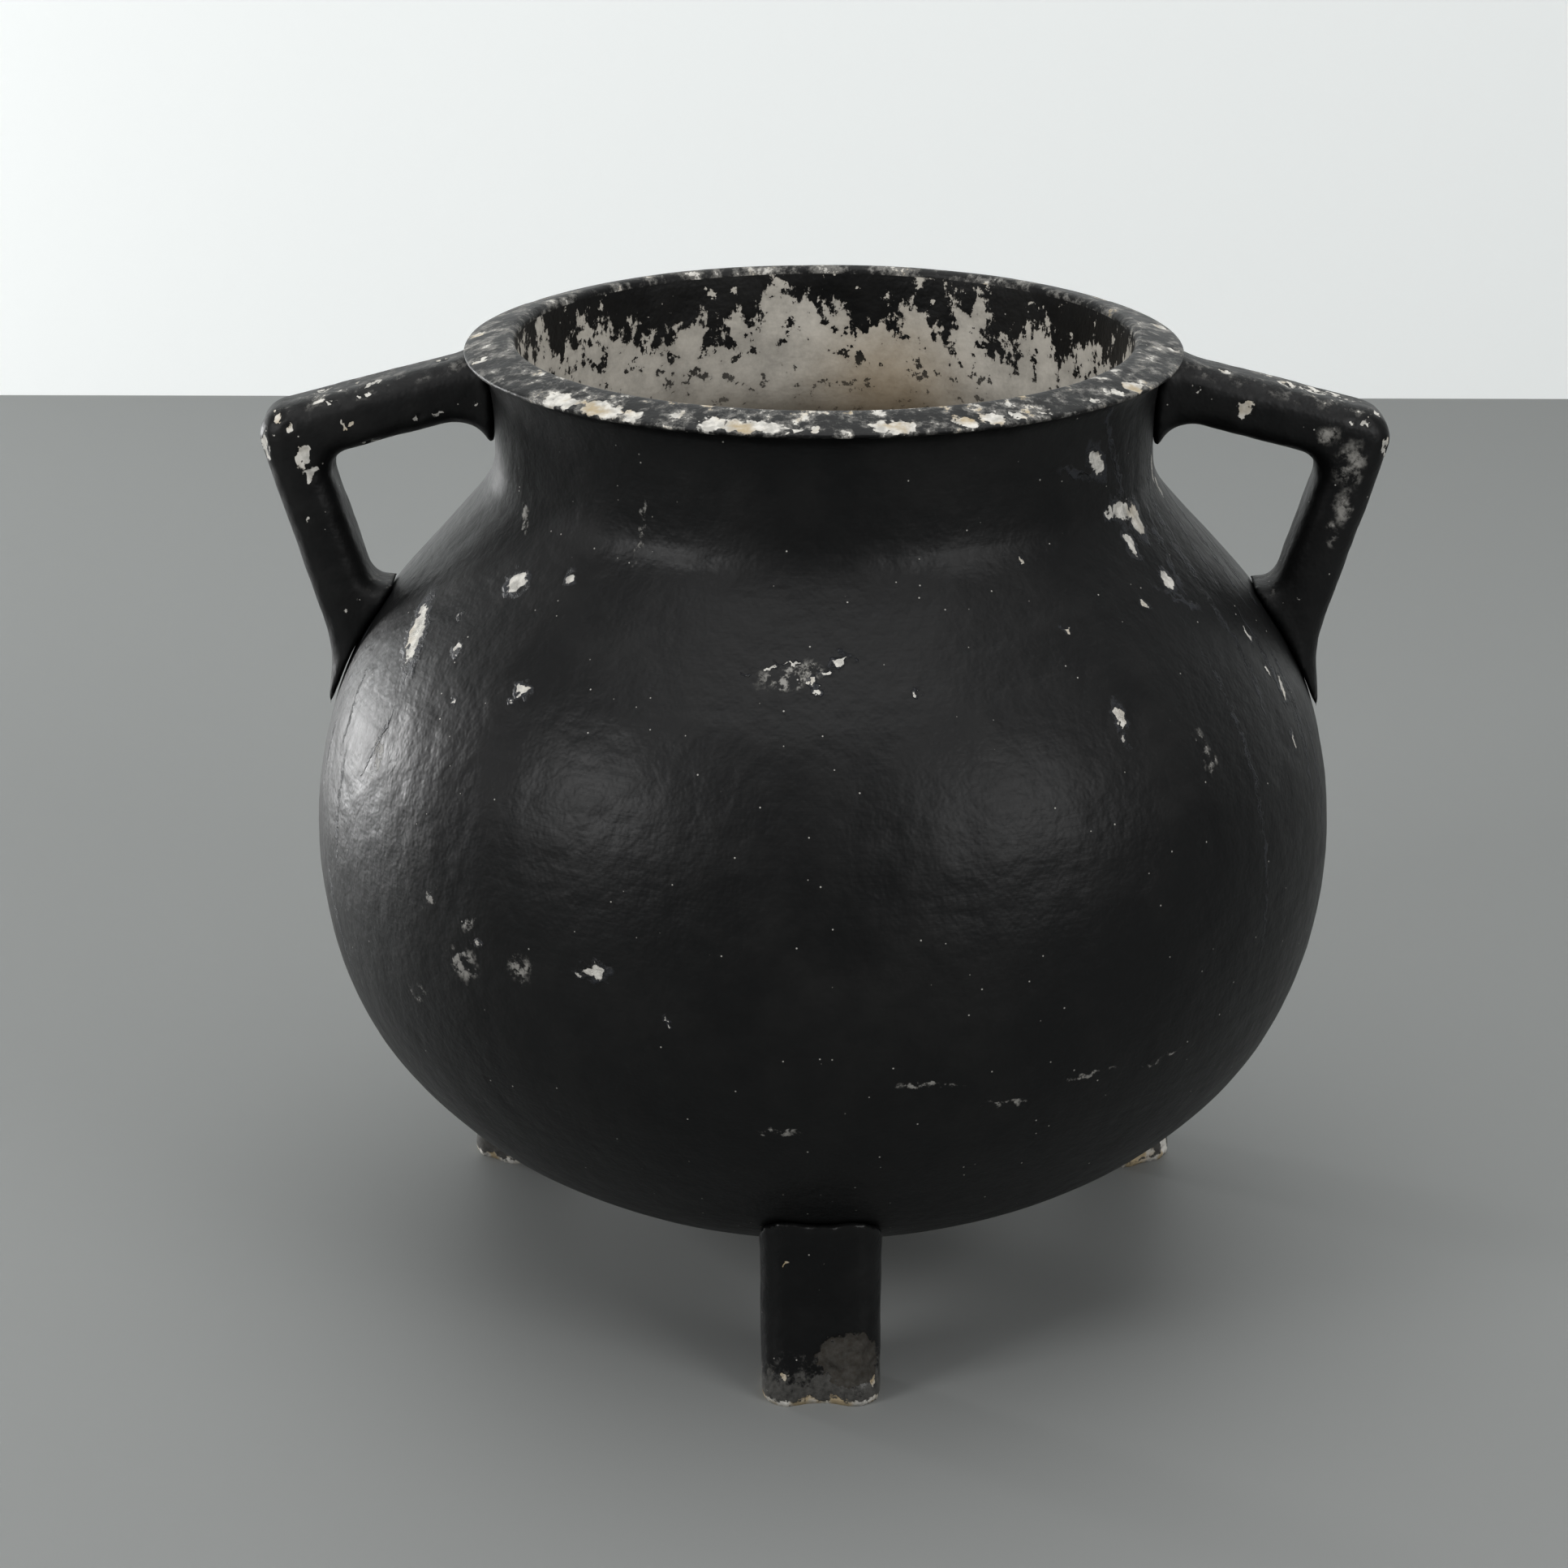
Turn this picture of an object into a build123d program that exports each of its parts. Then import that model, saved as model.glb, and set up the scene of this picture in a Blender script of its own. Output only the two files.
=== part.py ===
from build123d import *
import math
import os

# Cauldron planter: a thrown ceramic pot on three short feet, with two bent bar handles.
# Millimetres. +Z is up, the origin is on the floor under the pot's axis, the handles lie along X
# and one foot stands at the front, towards -Y.

# Bowl, from its base to the belly and up to the neck under the lip
belly_radius = 200.0
belly_height = 179.0
base_radius = 62.0
base_height = 25.0
base_angle = 16.4
rim_height = 374.0
neck_radius = 127.0
neck_below_rim = 40.0
shoulder_below_neck = 54.7
shoulder_beyond_neck = 35.5
shoulder_angle = 132.1

# Fullness of the bowl's curves: the share of a curve's span over which it keeps its end's direction
base_fullness = 0.378
under_belly_fullness = 0.443
over_belly_fullness = 0.546
shoulder_lower_fullness = 0.127
shoulder_upper_fullness = 0.727
neck_lower_fullness = 0.296
neck_upper_fullness = 0.545
lip_under_fullness = 0.212

# Lip, a rolled band that stands out over the neck
lip_overhang = 11.0
lip_fall = 6.0
lip_outer_roll = 2.2
lip_inner_roll = 4.0

# Walls
wall = 10.0
floor_thickness = 12.0
drain_hole_radius = 11.0

# Handles, bent bars that run from under the lip to the shoulder. Each lower arm ends in a tail that
# lies along the belly, and each seat line runs a little under the pot's surface.
handle_width = 32.0
upper_arm_thickness = 24.0
lower_arm_thickness = 23.4
upper_arm_fall = 14.8
lower_arm_lean = 17.2
elbow_beyond_belly = 5.8
upper_arm_below_lip = 1.1
elbow_outer_round = 13.0
elbow_inner_round = 8.0
handle_edge_round = 10.0
upper_root_round = 15.0
lower_root_round = 8.5
tail_inside_belly = 3.7
tail_above_belly = 73.0
tail_round = 60.0
seat_depth = 1.0

# Feet, three fluted blocks luted under the bowl. The front of each kicks out from its waist to its
# sole, and the two pulls say how far it keeps upright at either end.
foot_names = ("front", "rear_right", "rear_left")
first_foot_heading = -90.0
foot_width = 46.5
foot_thickness = 32.0
sole_inside_belly = 36.6
kick_out = 6.4
kick_height = 44.0
sole_pull = 14.7
waist_pull = 22.0
foot_front_round = 12.0
foot_back_round = 8.0
sole_edge_round = 1.5
flute_radius = 20.0
flute_depth = 3.5
flute_height = 56.0

# Levels and radii that follow from these sizes
neck_height = rim_height - neck_below_rim
shoulder_height = neck_height - shoulder_below_neck
shoulder_radius = neck_radius + shoulder_beyond_neck
mouth_radius = neck_radius - wall
lip_radius = neck_radius + lip_overhang
lip_edge_height = rim_height - lip_fall
sole_radius = belly_radius - sole_inside_belly
waist_radius = sole_radius - kick_out
foot_back_radius = sole_radius - foot_thickness


def heading(angle):
    """Unit direction in the profile plane, where 0 points outwards and 90 points up."""
    return Vector(math.cos(math.radians(angle)), math.sin(math.radians(angle)))


def station(radius, height, angle, inset=0.0):
    """Point of the bowl's outer line and its direction there, moved inwards by a wall."""
    point = Vector(radius, height) + heading(angle + 90.0) * inset
    return point, heading(angle)


def swell(start, start_fullness, end, end_fullness):
    """Smooth curve that leaves one station and arrives at the next in their directions."""
    start_point, start_heading = start
    end_point, end_heading = end
    span = (end_point - start_point).length
    leave = start_point + start_heading * span * start_fullness
    arrive = end_point - end_heading * span * end_fullness
    return Bezier(start_point, leave, arrive, end_point)


def bowl_curves(wall_inset=0.0, floor_inset=0.0):
    """The three curves from the base's edge to the neck, on one side of the wall."""
    base = station(base_radius, base_height, base_angle, floor_inset)
    belly = station(belly_radius, belly_height, 90.0, wall_inset)
    shoulder = station(shoulder_radius, shoulder_height, shoulder_angle, wall_inset)
    neck = station(neck_radius, neck_height, 90.0, wall_inset)
    return [
        swell(base, base_fullness, belly, under_belly_fullness),
        swell(belly, over_belly_fullness, shoulder, shoulder_lower_fullness),
        swell(shoulder, shoulder_upper_fullness, neck, neck_lower_fullness),
    ]


def lip_curves():
    """Flare under the lip, its rolled edge, its sloping top and the mouth's rounded edge."""
    outer = Vector(lip_radius - lip_outer_roll, lip_edge_height)
    inner = Vector(mouth_radius + lip_inner_roll, rim_height - lip_inner_roll)
    across = outer - inner
    slope = math.degrees(math.atan2(across.Y, across.X))
    top_angle = slope + math.degrees(math.acos((lip_inner_roll - lip_outer_roll) / across.length))
    neck = station(neck_radius, neck_height, 90.0)
    under = (outer - Vector(0, lip_outer_roll), heading(0.0))
    outer_roll = CenterArc(outer, lip_outer_roll, -90.0, 90.0 + top_angle)
    inner_roll = CenterArc(inner, lip_inner_roll, top_angle, 180.0 - top_angle)
    return [
        swell(neck, neck_upper_fullness, under, lip_under_fullness),
        outer_roll,
        Line(outer_roll @ 1, inner_roll @ 0),
        inner_roll,
    ]


def spun(curves):
    """Solid of revolution of a line that starts and ends level with points on the axis."""
    start = curves[0] @ 0
    end = curves[-1] @ 1
    foot = Vector(0, start.Y)
    top = Vector(0, end.Y)
    outline = Wire([Line(foot, start), *curves, Line(end, top), Line(top, foot)])
    return revolve(Plane.XZ * make_face(outline), Axis.Z)


def make_envelope():
    """The pot as if it were full: all that its outer surface and its mouth enclose."""
    return spun([*bowl_curves(), *lip_curves()])


def make_pot(envelope):
    """The thrown bowl: one wall from the base to the lip, with a drain hole in the floor."""
    throat = Line((mouth_radius, neck_height), (mouth_radius, rim_height - lip_inner_roll))
    hollow = spun([*bowl_curves(wall, floor_thickness), throat])
    drain = Pos(0, 0, belly_height / 2) * Cylinder(drain_hole_radius, belly_height)
    return envelope - hollow - drain


def arm_corner(side):
    """Sharp corner of the two arms' outer faces (side 1) or inner faces (side -1)."""
    fall = math.radians(upper_arm_fall)
    elbow_radius = belly_radius + elbow_beyond_belly
    arm_top = lip_edge_height - lip_outer_roll - upper_arm_below_lip
    drop = (elbow_radius - lip_radius) * math.tan(fall) + upper_arm_thickness / 2 / math.cos(fall)
    elbow = Vector(elbow_radius, arm_top - drop)
    upper = heading(90.0 - upper_arm_fall)
    lower = heading(-lower_arm_lean)
    upper_half = side * upper_arm_thickness / 2
    lower_half = side * lower_arm_thickness / 2
    spread = upper.X * lower.Y - upper.Y * lower.X
    across = (upper_half * lower.Y - lower_half * upper.Y) / spread
    along = (lower_half * upper.X - upper_half * lower.X) / spread
    return elbow + Vector(across, along)


def on_upper_arm(corner, radius):
    """Point at a radius on the upper arm's face that ends in a corner."""
    return Vector(radius, corner.Y + (corner.X - radius) * math.tan(math.radians(upper_arm_fall)))


def on_lower_arm(corner, height):
    """Point at a height on the lower arm's face that ends in a corner."""
    return Vector(corner.X - (corner.Y - height) * math.tan(math.radians(lower_arm_lean)), height)


def handle_outline():
    """The handle's outer line, closed deep inside the pot, where the pot cuts it away."""
    corner = arm_corner(1)
    core = neck_radius / 2
    tail_radius = belly_radius - tail_inside_belly
    tail_height = belly_height + tail_above_belly
    root = on_upper_arm(corner, neck_radius)
    tail = Vector(on_lower_arm(corner, tail_height).X, tail_height)
    return FilletPolyline(
        root,
        corner,
        tail,
        Vector(tail_radius, belly_height),
        Vector(core, belly_height),
        Vector(core, neck_height),
        radius=[0, elbow_outer_round, tail_round, 0, 0, 0],
        close=True,
    )


def window_outline():
    """The finger gap's line, which runs just under the pot's surface on the pot's side."""
    corner = arm_corner(-1)
    shoulder, shoulder_heading = station(shoulder_radius, shoulder_height, shoulder_angle, seat_depth)
    inner_arm = heading(90.0 - lower_arm_lean)
    gap = shoulder - corner
    spread = inner_arm.X * shoulder_heading.Y - inner_arm.Y * shoulder_heading.X
    reach = (gap.X * shoulder_heading.Y - gap.Y * shoulder_heading.X) / spread
    lower_root = corner + inner_arm * reach
    above_shoulder = shoulder + shoulder_heading * shoulder_below_neck / 2
    upper_root = on_upper_arm(corner, neck_radius - seat_depth)
    neck_side = Vector(neck_radius - seat_depth, shoulder_height)
    return FilletPolyline(
        lower_root,
        corner,
        upper_root,
        neck_side,
        above_shoulder,
        radius=[lower_root_round, elbow_inner_round, upper_root_round, 0, 0],
        close=True,
    )


def slab(outline, width):
    """Plate of a width across the XZ plane, from a face drawn in the profile plane."""
    return extrude(Plane.XZ.offset(-width / 2) * outline, width)


def make_handle(envelope):
    """The handle on the +X side, rounded all along and seated on the pot's outer surface."""
    plate = slab(make_face(handle_outline()) - make_face(window_outline()), handle_width)
    sides = plate.faces().filter_by(Axis.Y)
    return fillet(sides.edges(), handle_edge_round) - envelope


def foot_side():
    """The foot's side view: a sole on the floor and a front that kicks out towards it."""
    waist = Vector(waist_radius, kick_height)
    sole_edge = Vector(sole_radius, 0)
    kick = Bezier(
        sole_edge,
        sole_edge + Vector(0, sole_pull),
        waist - Vector(0, waist_pull),
        waist,
    )
    straights = Polyline(
        waist,
        (waist_radius, belly_height),
        (foot_back_radius, belly_height),
        (foot_back_radius, 0),
        sole_edge,
    )
    return make_face(Wire([kick, *straights.edges()]))


def make_flute():
    """The thumb groove up the foot's front, deepest at the sole and gone at its top."""
    lean = math.degrees(math.atan2(flute_depth - kick_out, flute_height))
    axis_radius = sole_radius - flute_depth + flute_radius
    return Pos(axis_radius, 0, 0) * Rot(0, lean, 0) * Cylinder(flute_radius, 2 * belly_height)


def make_foot(envelope):
    """A foot on the +X side of the pot's axis, seated on the pot's outer surface."""
    block = slab(foot_side(), foot_width)
    back_uprights = block.edges().filter_by(Axis.Z).sort_by(Axis.X)[:2]
    block = fillet(back_uprights, foot_back_round)
    middle_radius = (sole_radius + foot_back_radius) / 2
    uprights = block.faces().filter_by(Axis.Y).edges().filter_by(Axis.X, reverse=True)
    front_uprights = uprights.filter_by(lambda edge: edge.center().X > middle_radius)
    block = fillet(front_uprights, foot_front_round)
    sole = block.faces().sort_by(Axis.Z)[0]
    block = fillet(sole.edges(), sole_edge_round)
    return block - make_flute() - envelope


os.makedirs("parts", exist_ok=True)
envelope = make_envelope()
handle = make_handle(envelope)
foot = make_foot(envelope)
nodes = {
    "pot_body": make_pot(envelope),
    "handle_left": Rot(0, 0, 180) * handle,
    "handle_right": handle,
}
for number, foot_name in enumerate(foot_names):
    foot_heading = first_foot_heading + number * 360 / len(foot_names)
    nodes[f"foot_{foot_name}"] = Rot(0, 0, foot_heading) * foot
for name, shape in nodes.items():
    export_step(shape, f"parts/{name}.step")
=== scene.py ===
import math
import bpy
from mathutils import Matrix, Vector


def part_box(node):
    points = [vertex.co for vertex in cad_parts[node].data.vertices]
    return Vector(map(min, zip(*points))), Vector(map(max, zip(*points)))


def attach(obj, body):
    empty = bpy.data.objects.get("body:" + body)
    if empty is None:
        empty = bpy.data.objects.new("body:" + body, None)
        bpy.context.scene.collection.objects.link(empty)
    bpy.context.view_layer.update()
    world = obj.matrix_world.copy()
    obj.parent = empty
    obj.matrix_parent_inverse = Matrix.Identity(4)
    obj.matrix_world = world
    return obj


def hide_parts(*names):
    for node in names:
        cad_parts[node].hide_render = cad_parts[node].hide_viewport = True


bl_info = {
    "name": "Cauldron Planter",
    "version": (1, 0, 0),
    "blender": (4, 5, 0),
    "location": "3D View > Sidebar > Planter",
    "description": "Dresses a footed cauldron planter in worn black paint over pale clay",
    "category": "Add Mesh",
}

import bpy
import numpy as np
from mathutils import Euler, Matrix, Vector

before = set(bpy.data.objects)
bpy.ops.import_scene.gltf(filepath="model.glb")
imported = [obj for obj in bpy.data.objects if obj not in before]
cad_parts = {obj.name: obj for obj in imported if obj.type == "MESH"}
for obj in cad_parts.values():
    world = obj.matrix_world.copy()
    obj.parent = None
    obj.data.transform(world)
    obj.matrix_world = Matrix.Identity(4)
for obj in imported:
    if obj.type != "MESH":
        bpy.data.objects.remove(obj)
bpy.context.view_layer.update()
POT_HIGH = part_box("pot_body")[1]
RIM_HEIGHT = POT_HIGH.z
LIP_RADIUS = 0.138
LIP_FACE_DEPTH = 0.0105
LIP_EDGE_INSET = 0.0045
LIP_EDGE_FALL = 0.0036
BACKDROP_Y = 1.385
WORLD_LIGHT = 0.2
PAINT_SPECULAR = 0.22

# The pot's outside is painted in sectors, so that each material holds only the chips near it.
SECTORS = 6
SECTOR_MARGIN = 8

# Share of a row's size that is quite bare, in metres for each millimetre
CHIP_SHARE = 0.00078

# The camera that took the photo, which the scene's camera repeats
CAMERA_PLACE = (0, -1.487, 0.721)
CAMERA_TURN = (math.radians(70.35), 0, math.radians(0.59))
CAMERA_LENS = 91.3
CAMERA_SENSOR = 36.0
PHOTO_SIDE = 1932


class PlanterSizes(bpy.types.PropertyGroup):
    """Sizes of the hand-made detail, which is too fine for the plain solids."""

    turns: bpy.props.IntProperty(
        name="Steps round the pot", description="Faces round the pot", default=288, min=24
    )
    section_step: bpy.props.FloatProperty(
        name="Section step", description="Shortest edge of the pot's section before it is smoothed",
        default=0.0015, unit="LENGTH",
    )
    ridges: bpy.props.FloatProperty(
        name="Ridges", description="Depth of the throwing ridges round the wall",
        default=0.0006, unit="LENGTH"
    )
    lip_chip_depth: bpy.props.FloatProperty(
        name="Lip chip depth", description="How deep the lip is chipped", default=0.001, unit="LENGTH"
    )
    knock_depth: bpy.props.FloatProperty(
        name="Knock depth", description="How deep the handles are chipped", default=0.0011, unit="LENGTH"
    )
    break_depth: bpy.props.FloatProperty(
        name="Break depth", description="How deep the feet are broken", default=0.0024, unit="LENGTH"
    )
    wobble: bpy.props.FloatProperty(
        name="Wobble", description="How far the thrown wall wanders inwards", default=0.0011, unit="LENGTH"
    )
    grain: bpy.props.FloatProperty(
        name="Grain", description="Face size of the pressed handles and feet", default=0.0014, unit="LENGTH"
    )
    finger_marks: bpy.props.FloatProperty(
        name="Finger marks", description="Depth of the marks that hands left in handles and feet",
        default=0.0012, unit="LENGTH",
    )
    slip_reach: bpy.props.FloatProperty(
        name="Slip reach", description="How far up a handle or foot its smoothed joint runs",
        default=0.008, unit="LENGTH",
    )
    slip_spread: bpy.props.FloatProperty(
        name="Slip spread", description="How far the smoothed joint spreads onto the pot",
        default=0.0011, unit="LENGTH",
    )
    paint_coat: bpy.props.FloatProperty(
        name="Paint coat", description="Thickness of the paint at the edge of a chip",
        default=0.00035, unit="LENGTH"
    )


class PlanterColours(bpy.types.PropertyGroup):
    """Colours of the paint, the clay, its stains and the stage."""

    paint: bpy.props.FloatVectorProperty(
        name="Black paint", description="Satin paint over the clay", subtype="COLOR",
        default=(0.0032, 0.0034, 0.0036)
    )
    faded: bpy.props.FloatVectorProperty(
        name="Faded paint", description="Paint that wear has greyed", subtype="COLOR",
        default=(0.009, 0.009, 0.0088)
    )
    flaking: bpy.props.FloatVectorProperty(
        name="Flaking paint", description="Paint that lifts off beside chips and cracks", subtype="COLOR",
        default=(0.036, 0.039, 0.046),
    )
    clay: bpy.props.FloatVectorProperty(
        name="Pale clay", description="Clean fired clay in a chip", subtype="COLOR",
        default=(0.68, 0.66, 0.61)
    )
    old_clay: bpy.props.FloatVectorProperty(
        name="Old clay", description="Fired clay that has yellowed", subtype="COLOR", default=(0.4, 0.32, 0.2)
    )
    inner_clay: bpy.props.FloatVectorProperty(
        name="Inner clay", description="Bare wall inside the pot", subtype="COLOR", default=(0.56, 0.53, 0.47)
    )
    soil: bpy.props.FloatVectorProperty(
        name="Soil stain", description="Brown stain that soil and water left", subtype="COLOR",
        default=(0.16, 0.112, 0.056),
    )
    floor: bpy.props.FloatVectorProperty(
        name="Floor", description="Plain floor", subtype="COLOR", default=(0.222, 0.229, 0.225)
    )
    backdrop: bpy.props.FloatVectorProperty(
        name="Backdrop", description="Plain wall behind", subtype="COLOR", default=(0.88, 0.905, 0.9)
    )


# Chips of the pot's outside that the photo shows. Each is given as pixels across and down in
# the square photo, then its half width and half height in millimetres and its tilt in degrees.
POT_CHIPS_SEEN = {
    "oval on the left shoulder": (637, 716, 5.2, 4.4, 20),
    "dot under the streak": (560, 797, 2.2, 2.6, 0),
    "dot above the streak": (566, 758, 1.6, 1.6, 0),
    "dot right of the oval": (703, 712, 2.4, 2.0, 30),
    "flake under the oval": (645, 848, 3.6, 2.2, 0),
    "flake under the belly": (735, 1200, 5.6, 3.0, 10),
    "scratch under the belly": (826, 1262, 1.0, 2.6, 20),
    "dot under the neck": (1260, 690, 1.0, 1.0, 0),
    "dot on the right shoulder": (1313, 775, 1.4, 1.2, 0),
    "upright chip on the right": (1382, 885, 2.6, 5.5, 0),
    "dot under the star": (1410, 743, 2.0, 2.0, 0),
    "chip by the right root": (1540, 780, 1.6, 4.0, -20),
}

# More chips, given by their places: degrees round from the front foot and height in millimetres,
# then the same sizes and tilt. The last two lines lie on the back, which the photo hides.
POT_CHIPS_PLACED = (
    (-66.5, 274, 4.6, 17, 52), (2.4, 290.5, 4.4, 1.5, 24), (0.4, 287.5, 2.4, 1.4, 20),
    (12, 281, 1.0, 1.8, 25),
    (-1.4, 284.5, 1.2, 3.0, 20), (52, 343, 4.0, 7.5, 35), (60, 321, 8.5, 4.6, -25), (56, 322, 3.4, 2.4, 0),
    (58, 310, 3.2, 5.6, -15), (61, 296.5, 3.0, 5.2, -35),
    (-41, 268, 1.6, 1.6, 0), (-50, 262, 1.2, 1.2, 0), (-26, 182, 2.0, 1.4, 0), (-39, 184, 2.2, 1.6, 0),
    (37.5, 258, 1.3, 3.2, 0), (63.5, 316, 4.6, 8.0, -20), (80, 326, 2.4, 7.0, 0), (82, 318, 2.2, 5.0, 0),
    (72, 250, 2.0, 5.6, -25), (70, 258, 1.4, 2.0, 0), (69, 233, 1.4, 4.0, 0), (-0.6, 281.5, 2.6, 0.9, 20),
    (-7, 288, 3.4, 0.7, 12), (-4, 289.5, 3.0, 0.6, 10), (-10, 285, 1.6, 0.6, 8),
    (110, 262, 6.0, 3.6, 20), (128, 300, 3.0, 6.0, -20), (150, 214, 4.0, 5.0, 10), (-112, 228, 3.4, 5.2, 0),
    (-128, 306, 5.6, 3.0, 15), (-160, 250, 7.0, 3.4, -12), (172, 292, 2.6, 4.0, 0), (178, 176, 5.0, 2.4, 10),
)

# Chips of the lip's edge, given in the same two ways and without a tilt. Placed ones have no height.
LIP_CHIPS_SEEN = {
    "left end of the front": (680, 492, 7, 4),
    "left group": (745, 508, 6, 4),
    "long edge chip": (875, 528, 6.4, 4.4),
    "chip at the middle": (1003, 536, 2.6, 3),
    "chip after the middle": (1090, 528, 6, 3.2),
    "right group": (1190, 515, 6, 3.2),
    "dot of the right group": (1250, 505, 4, 2.6),
    "right end of the front": (1372, 478, 4, 3),
    "crack on the left": (597, 440, 4, 2),
    "crack on the far left": (610, 405, 5, 2.4),
    "wear on the right": (1440, 400, 5, 3),
}
LIP_CHIPS_PLACED = (
    (-8.5, 6, 3.4), (-4.5, 3.6, 3), (26.5, 5.6, 3.8),
    (-43, 5, 3), (-38, 8, 3.4), (-31, 5, 3.6), (-14, 5, 3.6), (-11.5, 5, 3), (12, 6.4, 3.4), (36, 3, 2.2),
    (58, 6, 3.6), (47, 2.6, 2.4), (84, 4, 2.4), (124, 5, 3), (141, 7, 2.4), (160, 4, 2.6), (-121, 6, 3),
    (-150, 5, 2.6), (-172, 7, 2.4),
)

# Scrapes and faint marks of the pot's outside, given as its chips are
POT_SCRAPES_SEEN = {
    "scrape over the front foot": (951, 1394, 11, 1.5, 2),
    "upright smear under the neck": (788, 650, 1.8, 14, -4),
    "middle flake field": (570, 1190, 9.0, 8, 0),
    "right flake field": (640, 1195, 6.0, 6, 0),
    "blister on the left": (460, 930, 5.0, 10, 20),
}
POT_SCRAPES_PLACED = (
    (-46, 195, 3.0, 7, -42), (-49, 153, 6.0, 5, 0),
    (-4, 286, 14, 4.4, 10), (30, 139.5, 12, 1.3, 6), (40, 137, 10, 1.1, 8), (11, 145, 14, 1.1, -6),
    (20, 134, 9, 1.0, -4), (-59, 318, 2.0, 9, 40), (-40, 190, 2.0, 5, -40), (49, 246, 4.0, 9, 8),
    (135, 190, 12, 1.2, 8), (-140, 160, 14, 1.0, -6), (170, 238, 2.0, 12, 20),
)

# Long cracks along the right edge and round the handles' roots, given as the chips are
POT_CRACKS_SEEN = {
    "crack at the left edge": (405, 905, 0.7, 8, 10),
    "lower crack at the left edge": (413, 990, 0.6, 9, 12),
}
POT_CRACKS_PLACED = (
    (74, 318, 0.7, 12, -32), (79, 306, 0.6, 11, -34), (84, 296, 0.7, 13, -38), (66, 304, 0.6, 8, -35),
    (69, 292, 0.6, 9, -30), (60, 291, 5.5, 0.6, -35), (86, 284, 0.7, 9, -36), (66, 268, 0.6, 9, -18),
    (72, 262, 0.6, 8, -15), (74, 244, 0.7, 9, -10), (72, 226, 0.6, 9, -6), (76, 210, 0.8, 10, -4),
    (58, 340, 0.6, 14, 28), (56.5, 229, 0.4, 26, -3), (-84, 250, 0.6, 9, 15), (-73, 240, 0.5, 7, 14),
    (-62, 238, 0.5, 6, -20), (48, 340, 5.0, 0.6, -20), (104, 300, 0.6, 12, 30), (-100, 290, 0.6, 12, -28),
    (-70, 160, 0.6, 9, 25),
)

# Chips of the handles and feet, seen in the same way
HANDLE_CHIPS_SEEN = {
    "handle_left": {
        "first edge dot": (391, 493, 1.6, 1.4, 0),
        "large dot by the window": (518, 514, 1.9, 1.8, 0),
        "dot on the arm": (432, 524, 1.7, 1.5, 0),
        "elbow dot": (357, 527, 1.8, 2.2, 20),
        "outer elbow dot": (343, 513, 1.6, 2.4, 30),
        "low dot": (381, 644, 0.9, 1.8, 0),
    },
    "handle_right": {
        "large dot": (1533, 504, 3.0, 2.8, 0),
        "dot by the pot": (1476, 479, 1.6, 1.1, -10),
        "inner elbow dot": (1668, 520, 1.3, 1.0, 0),
    },
}
HANDLE_SCRAPES_SEEN = {
    "handle_right": {
        "inner corner": (1637, 538, 4.0, 3.0, 0),
        "grey patch": (1656, 624, 3.0, 6.0, 0),
        "low grey patch": (1640, 656, 2.0, 5.0, 0),
    },
}
FOOT_CHIPS_SEEN = {
    "foot_front": {
        "dot under the belly": (966, 1559, 0.9, 1.4, 0),
    },
}

# More of them, given by a point in millimetres, then the same sizes and tilt
HANDLE_CHIPS_PLACED = (
    ((-192, 0, 351), 3.0, 2.2, 15), ((-185, -7, 353), 2.6, 1.8, 15), ((-146, -2, 363), 2.4, 1.8, 14),
    ((-189.5, -12.5, 348), 1.4, 1.2, 0), ((-187, -12, 350), 1.1, 1.0, 0), ((-181, -13, 350.5), 1.0, 0.9, 0),
    ((-174, -13.5, 351), 1.3, 1.0, 0), ((-147, -16, 345.2), 1.7, 0.8, 8), ((-211, -9, 345.5), 1.8, 2.0, 0),
    ((-196.5, -16, 321), 2.6, 3.0, 0), ((-173, -13, 332.5), 4.2, 1.2, 14), ((207, -14, 341.5), 1.8, 2.0, 0),
    ((211, -8, 344.5), 1.5, 1.8, 0), ((187, 0, 352), 5.2, 2.0, -15),
    ((-180, -3, 355), 3.4, 2.0, 15), ((-177, -13, 350.5), 0.8, 0.8, 0), ((-172, -8, 356), 3.0, 1.4, 14),
    ((-183.5, -16, 341), 0.8, 1.2, 0), ((-199, -16, 328), 1.8, 5.5, -12), ((-214, -11, 330), 1.6, 5.0, 0),
    ((-199, -16, 283), 0.7, 0.9, 0), ((153, -7, 361), 3.0, 2.2, -15), ((179, -2, 354.5), 5.0, 1.8, -14),
    ((196, 2, 350), 3.2, 1.4, -15), ((170, 4, 357), 4.0, 1.4, -14), ((214, -10, 331), 1.2, 5.0, 0),
    ((-190, 16, 345), 2.4, 1.8, 0), ((165, 16, 350), 2.0, 2.6, 0), ((-199, 16, 300), 1.2, 3.0, 0),
    ((203, 16, 312), 2.0, 4.4, 10),
)
HANDLE_SCRAPES_PLACED = (((201, -16, 325), 5.0, 8.0, 0),)
FOOT_CHIPS_PLACED = (
    ((-17.5, -160, 14), 1.8, 2.2, 10),
    ((-14, -160, 12), 1.0, 1.6, 0), ((-19.5, -158, 30), 0.7, 1.2, 0), ((20, -157, 9), 1.0, 1.6, 0),
    ((134, 56, 5), 7.0, 3.6, 0), ((146, 62, 6), 3.0, 5.0, 0), ((-139, 57, 1.5), 5.0, 1.2, 0),
    ((148, 82, 5), 3.0, 3.0, 0), ((-146, 78, 6), 3.0, 4.0, 0),
)
FOOT_BREAK = ((11, -160, 18), 12.5, 10.5, 0)


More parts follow.
